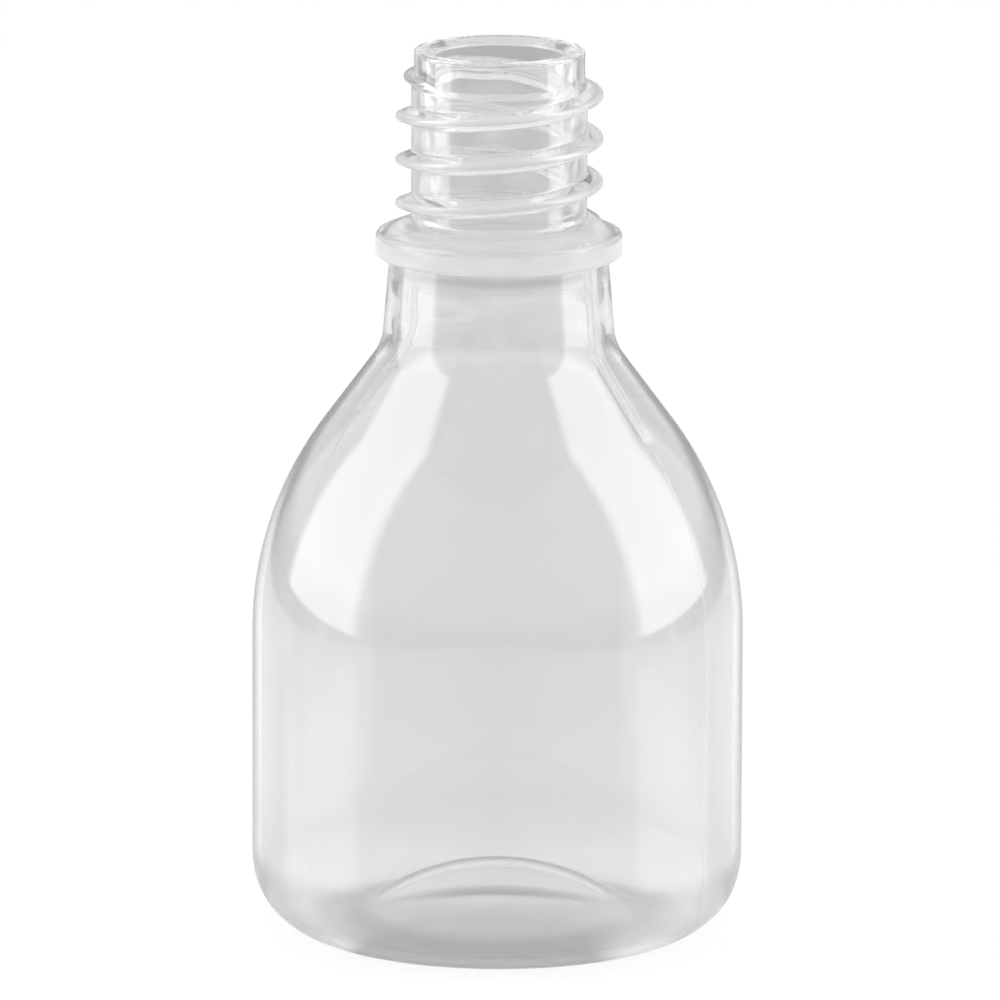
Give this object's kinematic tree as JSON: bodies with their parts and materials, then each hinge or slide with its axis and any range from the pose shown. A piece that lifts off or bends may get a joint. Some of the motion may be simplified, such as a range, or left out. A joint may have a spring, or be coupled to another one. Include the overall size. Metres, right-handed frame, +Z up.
{
  "type": "narrow neck lab bottle",
  "caption": "Round clear plastic bottle with a sloping shoulder, a flanged narrow neck with a coarse outside screw thread, and a pushed-up base.",
  "frame": {"origin": "centre of the base, at the height of the surface that the bottle stands on", "axes": "+Z up along the bottle's axis, out of the mouth; the mould's parting plane lies 32 degrees clockwise from +X, seen from above"},
  "size_m": [0.0666, 0.0666, 0.1213],
  "materials": {
    "clear_plastic": "clear, smooth and glossy"
  },
  "bodies": {
    "root": {"bottle": "clear_plastic"}
  },
  "joints": []
}
